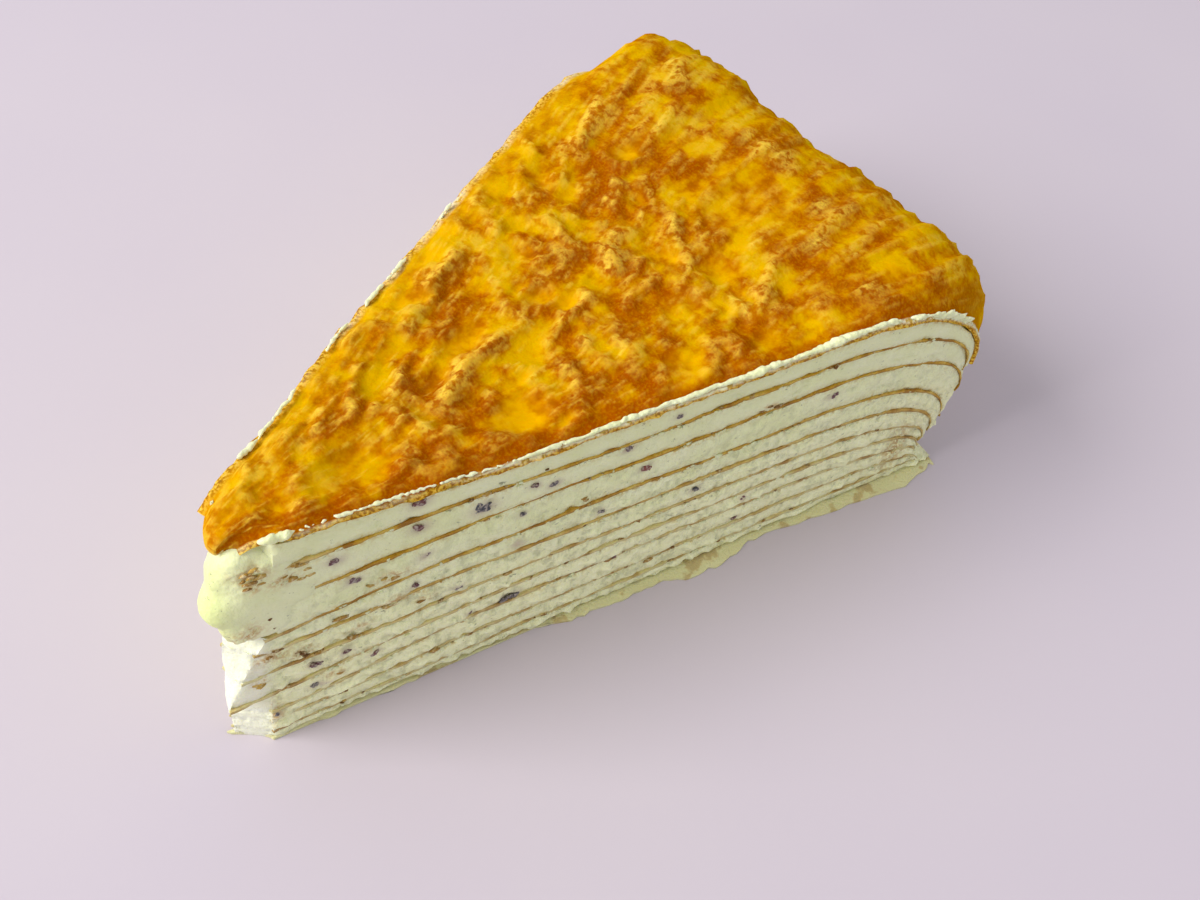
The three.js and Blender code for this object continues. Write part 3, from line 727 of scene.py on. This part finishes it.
# It is browner where the pan toasted it, on the listed patches and high up on the ridges. Painted
# shade darkens the flanks that face away from the window and a band along the near cut; painted
# highlights lighten the flanks and crests that face the window. A tan band runs along the rim, and
# painted light lightens the far cut's edge.
# How far each flank faces the window, for painted shade on flanks turned away and painted
# highlights on those turned to it.
facing_window = bumps - skin_relief(x - 0.86 * SLOPE_STEP, y + 0.5 * SLOPE_STEP, height)[0]
facing_window = facing_window / SLOPE_STEP
toast_and_shade = np.zeros(len(x))
for *where, darkness in TOASTED:
    toast_and_shade = np.maximum(toast_and_shade, darkness * ease(1.4 - oval(x, y, *where), 0, 1))
# Painted shade: a darker band along the near cut, where the skin rolls down away from the light.
near_edge_shade = np.exp(-from_near / 2.4) * ease(travel, 15, 26)
# Painted light: a lighter band along the far cut's edge.
far_edge_light = np.exp(-from_far / 2.0)
# Ridges are browner from the pan, and flanks turned away from the window get painted shade.
ridge_toast_and_lee_shade = 0.5 * ease(bumps, 0, 1) + 0.5 * ease(-facing_window, 0.1, 0.9)
toast_and_shade = np.maximum(toast_and_shade * 0.6 + ridge_toast_and_lee_shade * 0.8, 1.3 * near_edge_shade)
gold = gold * (1 - near_edge_shade)
# Painted highlights on the flanks turned to the window and on the crests.
crest_highlight = 0.8 * ease(facing_window, 0.25, 0.9) * ease(bumps, -0.2, 0.5) + 0.55 * crests
whitened = 0.35 + 0.85 * ease(travel, 30, 44) - 0.75 * (across > 0)
along_cut = np.column_stack((travel, across * 30, travel * 0))[cut]
whitened[cut] += 0.8 * rough(along_cut, 5, seed=17, octaves=2)
mark(browned, "toast_and_shade", np.clip(toast_and_shade, 0, 1.1) * (1 - 0.7 * gold))
mark(browned, "crest", np.clip(crest_highlight, 0, 1) * (1 - gold) * (1 - near_edge_shade))
mark(browned, "gold", np.clip(gold + 0.3 * ease(-bumps, 0, 0.8), 0, 1))
mark(browned, "rim_tan_and_edge_light", np.maximum(ease(travel, 90, 108), 0.8 * far_edge_light))
mark(browned, "cut", cut)
mark(browned, "whitened", cut * ease(rise, 0.6, 0.95) * np.clip(whitened, 0, 1))
mark(browned, "underside", at_start(rise) & ~cut)

skin, tree, shader = new_material(
    "browned_skin", Roughness=0.45, Subsurface_Weight=0.25, Subsurface_Scale=1.0 * MM,
    Subsurface_Radius=(1.0, 0.5, 0.1), Specular_IOR_Level=0.0,
)
broad = lumps(tree, 9)
middling = lumps(tree, 3.6)
small = lumps(tree, 1.1, detail=2)
grain = grain_in(tree)
gold = value_of(tree, "gold")
toast_and_shade = value_of(tree, "toast_and_shade")
# The toasting mark also carries painted shade on lee flanks and along the near cut.
patterns = ((broad, 1.6), (middling, 2.3), (small, 0.8), (grain, 0.12), (toast_and_shade, -0.62))
colour = ramp(tree, weigh(tree, -1.79, *patterns), *BROWNS)
yellow = maths(tree, "MULTIPLY", gold, ramp(tree, middling, (0.36, 0.35), (0.56, 1.0)))
yellow = maths(tree, "MULTIPLY", yellow, ramp(tree, small, (0.34, 0.65), (0.56, 1.0)))
colour = blend(tree, yellow, colour, BLISTER_YELLOW)
# Painted highlights on the crests and the flanks that face the window.
crest_highlight = ramp(tree, small, (0.38, 0.1), (0.52, 1.0))
crest_highlight = maths(tree, "MULTIPLY", value_of(tree, "crest"), crest_highlight)
crest_highlight = maths(tree, "MULTIPLY", crest_highlight, ramp(tree, grain, (0.34, 0.6), (0.56, 1.0)))
colour = blend(tree, crest_highlight, colour, PAINTED_CREST_HIGHLIGHT)
# Lighter specks in the grain: partly the crepe's own grain and partly painted glints.
grain_and_glints = ramp(tree, grain, (0.46, 0.0), (0.68, 0.2))
grain_and_glints = maths(tree, "MULTIPLY_ADD", gold, -0.25, grain_and_glints)
colour = blend(tree, maths(tree, "MAXIMUM", grain_and_glints, 0.0), colour, GRAIN_AND_GLINT_COLOUR)
# The rim's own tan, and painted light along the far cut's edge.
colour = blend(tree, maths(tree, "MULTIPLY", value_of(tree, "rim_tan_and_edge_light"), 0.6), colour, RIM_TAN_AND_EDGE_LIGHT)
edge_colour = ramp(tree, grain, (0.42, DARK_CUT), (0.5, GOLDEN_CUT), (0.6, PALE_CUT))
colour = blend(tree, value_of(tree, "cut"), colour, edge_colour)
crumb_colour = ramp(tree, lumps(tree, 0.7), (0.36, BATTER_CRUMB), (0.46, CREAM_CRUMB))
colour = blend(tree, value_of(tree, "whitened"), colour, crumb_colour)
colour = blend(tree, value_of(tree, "underside"), colour, PALE_UNDERSIDE)
tree.links.new(colour, shader.inputs["Base Color"])
relief = weigh(tree, 0.0, (small, 0.8), (grain, 0.15))
relief = maths(tree, "MULTIPLY", relief, maths(tree, "MULTIPLY_ADD", gold, -0.7, 1.0))
emboss(tree, shader, relief, depth=0.28, strength=0.6)
browned.data.materials.append(skin)
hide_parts("browned_crepe")
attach(browned, "root")


# The cream at the tip was dragged out by the knife into one soft lump that hangs down in a
# lip, and over the ends of the crepes behind it. It is made of rounded blobs melted together.
def spot(x, y, z):
    """A place from its distances along and across the slice, in metres."""
    return Vector((MIDDLE[0] + x, MIDDLE[1] + y, z)) * MM


def on_cut(distance, height, outward, side=-1.0):
    """A place on the near cut, at side -1, or on the far one, at side 1, in metres."""
    return Vector(place(distance, side, outward, height))


def melt(name, blobs, voxel, smoothing, subdivisions=4):
    """Rounded blobs of centre, size and turn, melted together into one piece."""
    bpy.ops.object.select_all(action="DESELECT")
    made = []
    for centre, size, turn in blobs:
        bpy.ops.mesh.primitive_ico_sphere_add(
            subdivisions=subdivisions, radius=1, location=centre
        )
        blob = bpy.context.object
        blob.scale = [s * MM for s in size]
        blob.rotation_euler = (0, 0, turn)
        made.append(blob)
    for blob in made:
        blob.select_set(True)
    bpy.context.view_layer.objects.active = made[0]
    bpy.ops.object.join()
    piece = bpy.context.object
    piece.name = name
    bpy.ops.object.transform_apply(location=True, rotation=True, scale=True)
    remesh = piece.modifiers.new("melt", "REMESH")
    remesh.mode = "VOXEL"
    remesh.voxel_size = voxel * MM
    soften = piece.modifiers.new("soften", "SMOOTH")
    soften.factor = 0.8
    soften.iterations = smoothing
    for modifier in ("melt", "soften"):
        bpy.ops.object.modifier_apply(modifier=modifier)
    bpy.ops.object.shade_smooth()
    return piece


AT_NEAR = -HALF_ANGLE
lump = melt("tip_cream_lump", [
    (spot(12.8, -1.3, 29.4), (4.0, 2.8, 3.8), 0),
    (spot(12.2, -2.4, 26.2), (2.4, 1.9, 3.0), 0),
    (spot(13.4, -1.1, 33.2), (3.4, 2.6, 4.4), 0),
    (spot(13.7, -1.8, 36.3), (2.8, 2.0, 2.2), 0),
    (on_cut(15.0, 30.8, -1.0), (4.2, 1.7, 6.0), AT_NEAR),
    (on_cut(18.2, 30.0, -1.3), (3.6, 1.7, 5.4), AT_NEAR),
    (on_cut(15.0, 25.2, -1.0), (3.4, 1.6, 2.8), AT_NEAR),
    (on_cut(16.0, 35.4, -1.0), (3.0, 1.5, 2.0), AT_NEAR),
], voxel=0.25, smoothing=24)
points = points_of(lump) / MM
from_middle = np.hypot(points[:, 0] - MIDDLE[0], points[:, 1] - MIDDLE[1])
smear = smear_at(from_middle, points[:, 2])
wobble = 0.16 * rough(points, 3, seed=31, octaves=2)
wobble = wobble + (0.05 + 0.5 * smear) * rough(points, 0.8, seed=32)
points = points + points_of(lump, "normal") * wobble[:, None]

# The knife wiped it off a little way out of the near cut, and further out by the tip.
WIPED_AT, WIPED_AT_TIP, WIPE_SOFTNESS = 0.42, 1.4, 0.25
way_out = np.array((-math.sin(HALF_ANGLE), -math.cos(HALF_ANGLE), 0))
outward = (points - (*MIDDLE, 0)) @ way_out
limit = mix(WIPED_AT_TIP, WIPED_AT, ease(points[:, 0] - MIDDLE[0], 9.5, 13.5))
wiped = limit - WIPE_SOFTNESS * np.logaddexp(0, (limit - outward) / WIPE_SOFTNESS)
points = points + (wiped - outward)[:, None] * way_out
settle(lump, points * MM)
mark(lump, "smear", smear)
# Its far-left edge is darker and yellow-green: painted shade under the overhanging browned crepe,
# with a painted yellow reflection.
mark(lump, "lump_shade", 0.65 * (1 - ease(from_middle, 9.3, 12.2)))
lump.data.materials.append(cream)
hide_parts("tip_cream")
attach(lump, "root")


# The fruit was stirred into the cream in small pieces. The knife cut through some, so flat
# dark bits show in the cut faces, sunk in the cream.
BIT_HALF_THICKNESS = 0.2
BIT_OUT = 0.17  # how far its middle lies out of the cut
FRUIT_COLOURS = (
    (0.0, (0.22, 0.05, 0.03)), (0.3, (0.13, 0.05, 0.055)), (0.6, (0.16, 0.13, 0.13)),
    (0.95, (0.045, 0.05, 0.065)),
)
FRUIT_SPECKLE = (0.48, 0.42, 0.34)


def scraps(name, bits, seed, uneven, subdivisions):
    """Small uneven lumps, each of a centre, a size, a turn and a tone, as one piece."""
    bpy.ops.object.select_all(action="DESELECT")
    bpy.ops.mesh.primitive_ico_sphere_add(subdivisions=subdivisions, radius=1)
    piece = bpy.context.object
    piece.name = name
    one = points_of(piece)
    faces = [tuple(face.vertices) for face in piece.data.polygons]
    points, polygons, tones = [], [], []
    for number, (centre, size, turn, shade) in enumerate(bits):
        shape = one * (1 + uneven * 2 * rough(one, 1.1, seed + number, octaves=2))[:, None]
        shape = (shape * size) @ np.array(Matrix.Rotation(turn, 3, "Z")).T
        points.append(np.asarray(centre) + shape * MM)
        polygons += [tuple(index + number * len(one) for index in face) for face in faces]
        tones += [shade] * len(one)
    piece.data.clear_geometry()
    piece.data.from_pydata(np.concatenate(points), [], polygons)
    piece.data.update()
    mark(piece, "tone", tones)
    bpy.ops.object.shade_smooth()
    return piece


fruit, tree, shader = new_material("fruit", Roughness=0.4, Specular_IOR_Level=0.4)
speckle = grain_in(tree)
flesh = ramp(tree, value_of(tree, "tone"), *FRUIT_COLOURS)
colour = blend(tree, ramp(tree, speckle, (0.46, 0.0), (0.62, 0.8)), flesh, FRUIT_SPECKLE)
tree.links.new(colour, shader.inputs["Base Color"])
emboss(tree, shader, speckle, depth=0.2)

dice = random.Random(5)
for name, fruits, side in (("fruit_bits_near", FRUIT_NEAR, -1), ("fruit_bits_far", FRUIT_FAR, 1)):
    chosen = []
    for distance, height, radius, shade in fruits:
        for part, share in enumerate((0.62, 0.45)):  # a large lump, and a small one beside it
            reach = radius * share
            shift = part * dice.choice((-1, 1)) * dice.uniform(0.4, 0.6) * radius
            lifted = height + part * dice.uniform(-0.35, 0.35) * radius
            centre = on_cut(distance + shift, lifted, BIT_OUT, side)
            wide, tall = reach * dice.uniform(0.7, 1.0), reach * dice.uniform(0.6, 0.9)
            chosen.append((centre, (wide, BIT_HALF_THICKNESS, tall), side * HALF_ANGLE, shade))
    bits = scraps(name, chosen, seed=50, uneven=0.35, subdivisions=3)
    bits.data.materials.append(fruit)
    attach(bits, "root")

# Cream that the knife lifted clings to the cut edge of the browned crepe, in a thin broken
# band with a few thick tufts. More of it peeps out along the far edge.
EDGE_LIFT = 1.1  # how high the browned crepe's upper edge lies over its underside
NEAR_TUFTS = [  # from, to, how many, size, how much longer than wide
    (14.8, 17.2, 16, 0.42, 1.2), (17, 23, 16, 0.14, 1.6), (22, 31.5, 60, 0.17, 1.6),
    (31, 43, 44, 0.15, 2.0), (43, 55, 40, 0.2, 5), (54.6, 56, 4, 0.32, 1.3), (55, 71, 52, 0.21, 6),
    (71, 75.5, 16, 0.4, 1.6), (75, 81, 20, 0.22, 5), (80.5, 85, 20, 0.44, 1.8),
    (84, 92, 30, 0.3, 2.6), (92, 99, 26, 0.24, 4), (99, 105, 22, 0.18, 1.3),
]
FAR_TUFTS = [
    (19.5, 23.5, 22, 0.24, 2.4), (24, 30, 14, 0.18, 3), (36, 41, 10, 0.18, 3),
    (45, 53, 24, 0.2, 3), (60, 64, 8, 0.18, 3),
]


def tufts(name, runs, side, seed):
    """Small lumps of cream along the upper edge of a cut face, melted into a rough band."""
    dice = random.Random(seed)
    chosen = []
    for low, high, count, size, longer in runs:
        for _ in range(count):
            travel = dice.uniform(low, high)
            out_from, height = (float(v) for v in sheet(TOP, np.float64(travel), side * 1.0))
            reach = size * dice.uniform(0.6, 1.3)
            height = height + EDGE_LIFT + dice.uniform(-0.4, 0.5) * size
            outward = dice.uniform(-0.1, 0.15) + 0.5 * (side > 0)
            centre = on_cut(out_from, height, outward, side)
            shape = (reach * dice.uniform(0.6, 1.4) * longer, reach * 0.9, reach)
            chosen.append((centre, shape, side * HALF_ANGLE + dice.uniform(-0.9, 0.9) / longer))
    band = melt(name, chosen, voxel=0.1, smoothing=6, subdivisions=2)
    points = points_of(band) / MM
    wobble = 0.05 * rough(points, 0.5, seed)
    settle(band, (points + points_of(band, "normal") * wobble[:, None]) * MM)
    return band


for name, runs, side in (("edge_tufts_near", NEAR_TUFTS, -1), ("edge_tufts_far", FAR_TUFTS, 1)):
    bits = tufts(name, runs, side, seed=7 + side)
    bits.data.materials.append(cream)
    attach(bits, "root")

# Crumbs of crepe and of cream lie along the cut lines, where the knife dragged them.
CRUMBS = [  # distance, height, half length, tone: 0 is dark brown, 1 is golden
    (22.8, 9.6, 0.8, 0.5), (25.9, 25.6, 0.7, 0.7), (27.2, 25.8, 0.5, 0.9), (28.5, 25.4, 0.8, 0.6),
    (51.5, 26.3, 0.5, 0.4), (51.9, 25.8, 0.4, 0.3), (75.0, 30.2, 0.5, 0.2), (76.0, 30.5, 0.6, 0.1),
    (77.3, 30.0, 0.6, 0.1), (28.0, 20.0, 0.9, 0.8), (32.0, 18.2, 0.7, 0.3), (43.0, 16.5, 0.8, 0.6),
    (58.7, 13.8, 0.5, 0.2), (57.8, 9.8, 0.7, 0.4), (18.2, 17.2, 0.5, 0.0), (18.6, 16.5, 0.5, 0.0),
    (17.6, 17.9, 0.5, 0.1), (13.2, 14.4, 0.9, 0.8), (13.6, 13.8, 0.7, 0.8), (17.5, 32.6, 0.7, 0.6),
    (18.4, 32.0, 0.6, 0.8), (16.6, 33.4, 0.5, 0.5), (17.8, 34.8, 0.5, 0.5), (18.6, 34.4, 0.7, 0.7),
    (13.6, 35.4, 0.6, 0.7), (12.9, 36.2, 0.5, 0.5), (13.8, 36.6, 0.5, 0.7), (12.6, 35.2, 0.4, 0.3),
    (13.2, 34.5, 0.9, 0.4), (14.3, 35.0, 0.8, 0.8), (13.0, 33.7, 0.6, 0.2), (14.5, 33.8, 0.6, 0.6),
    (19.0, 33.4, 0.6, 0.8), (19.4, 32.2, 0.7, 0.9), (15.6, 20.0, 0.8, 0.1), (14.6, 19.2, 0.6, 0.3),
    (22.4, 21.4, 0.9, 0.5), (26.4, 20.9, 0.7, 0.8), (24.0, 16.4, 0.6, 0.4), (16.0, 11.4, 0.7, 0.5),
    (36.8, 34.6, 0.3, 0.0), (45.6, 35.0, 0.3, 0.0), (15.0, 26.8, 0.3, 0.0), (15.4, 24.8, 0.2, 0.0),
    (24.5, 5.8, 0.8, 0.3), (34.5, 5.4, 0.9, 0.5), (64.5, 5.3, 0.8, 0.5), (23.0, 4.6, 0.6, 0.2),
]
CRUMB_COLOURS = ((0.0, (0.16, 0.07, 0.015)), (0.5, (0.42, 0.24, 0.05)), (1.0, (0.60, 0.42, 0.10)))
CRUMB_SPECKLE = (0.72, 0.62, 0.36)
CRUMBS_TO_A_LINE, CREPE_CRUMBS_TO_A_LINE = 60, 18
BIG_CRUMB_SHARE, BIG_CRUMB_SCALE = 0.12, 1.5
crumb, tree, shader = new_material("crepe_crumb", Roughness=0.55, Specular_IOR_Level=0.2)
speckle = grain_in(tree)
colour = ramp(tree, value_of(tree, "tone"), *CRUMB_COLOURS)
colour = blend(tree, ramp(tree, speckle, (0.5, 0.0), (0.65, 0.7)), colour, CRUMB_SPECKLE)
tree.links.new(colour, shader.inputs["Base Color"])
emboss(tree, shader, speckle, depth=0.2)

dice = random.Random(21)
crepe_bits, cream_bits = [], []
for distance, height, reach, shade in CRUMBS:
    size = (reach, BIT_HALF_THICKNESS, reach * dice.uniform(0.3, 0.5))
    crepe_bits.append((on_cut(distance, height, 0.2), size, AT_NEAR, shade))
for level in range(1, TOP):
    for side in (-1, 1):
        for number in range(CRUMBS_TO_A_LINE):
            travel = dice.uniform(18, 96)
            out_from, height = (float(v) for v in sheet(level, np.float64(travel), side * 1.0))
            size = dice.uniform(0.1, 0.26)
            size = size * (BIG_CRUMB_SCALE if dice.random() < BIG_CRUMB_SHARE else 1)
            shape = (size * dice.uniform(0.8, 2.2), size * 0.7, size * dice.uniform(0.5, 1))
            turn = side * HALF_ANGLE + dice.uniform(-0.3, 0.3)
            if number < CREPE_CRUMBS_TO_A_LINE:
                centre = on_cut(out_from, height + dice.uniform(-0.2, 0.25), 0.12, side)
                crepe_bits.append((centre, shape, turn, dice.uniform(0, 0.9)))
            else:
                centre = on_cut(out_from, height + dice.uniform(-0.7, 0.1), 0.16, side)
                cream_bits.append((centre, shape, turn, 0))
for name, chosen, finish, slot in (
    ("crepe_crumbs", crepe_bits, crumb, "crepe"), ("cream_crumbs", cream_bits, cream, "cream"),
):
    bits = scraps(name, chosen, seed=900, uneven=0.4, subdivisions=1)
    bits.data.materials.append(finish)
    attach(bits, "root")

# The floor is plain and pale, and the light is soft daylight from a window to the left.
# The places and sizes of the floor and the window are in metres.
FLOOR_TINTS = ((0.3, (0.59, 0.53, 0.60)), (0.7, (0.61, 0.55, 0.61)))
WINDOW_PLACE = Vector((-1.2, 0.67, 0.99))
bpy.ops.mesh.primitive_plane_add(size=3)
floor = bpy.context.object
floor.name = "floor"
pale_floor, tree, shader = new_material("pale_floor", Roughness=0.8, Specular_IOR_Level=0.1)
tint = ramp(tree, lumps(tree, 60, detail=2), *FLOOR_TINTS)
tree.links.new(tint, shader.inputs["Base Color"])
floor.data.materials.append(pale_floor)

bpy.ops.object.light_add(type="AREA", location=WINDOW_PLACE)
window = bpy.context.object
window.name = "window"
window.data.size = 0.96
window.data.energy = 30
window.data.color = (1.0, 0.98, 0.96)
window.rotation_euler = (-WINDOW_PLACE).to_track_quat("-Z", "Y").to_euler()
world = bpy.data.worlds.new("daylight")
world.use_nodes = True
sky = world.node_tree.nodes["Background"]
sky.inputs["Color"].default_value = (0.97, 0.97, 1.0, 1)
sky.inputs["Strength"].default_value = 0.62
bpy.context.scene.world = world
bpy.context.scene.view_settings.view_transform = "Standard"

# The camera looks down on the near cut and the tip.
AZIMUTH, ELEVATION, ROLL = math.radians(-58.355), math.radians(51.401), math.radians(13.918)
DISTANCE = 189.943
AIM = (73.431, -0.805)  # the point of the floor in the middle of the view, from the cake's middle
back = Vector((
    math.sin(AZIMUTH) * math.cos(ELEVATION),
    -math.cos(AZIMUTH) * math.cos(ELEVATION),
    math.sin(ELEVATION),
))
level_right = Vector((math.cos(AZIMUTH), math.sin(AZIMUTH), 0))
level_up = back.cross(level_right)
right = level_right * math.cos(ROLL) + level_up * math.sin(ROLL)
up = back.cross(right)
place_at = (Vector((MIDDLE[0] + AIM[0], MIDDLE[1] + AIM[1], 0)) + back * DISTANCE) * MM
bpy.ops.object.camera_add()
camera = bpy.context.object
camera.data.sensor_width = 36
camera.data.lens = 41.12
camera.data.clip_start = 0.01
turned = Matrix((right, up, back)).transposed().to_4x4()
camera.matrix_world = Matrix.Translation(place_at) @ turned
bpy.context.scene.camera = camera
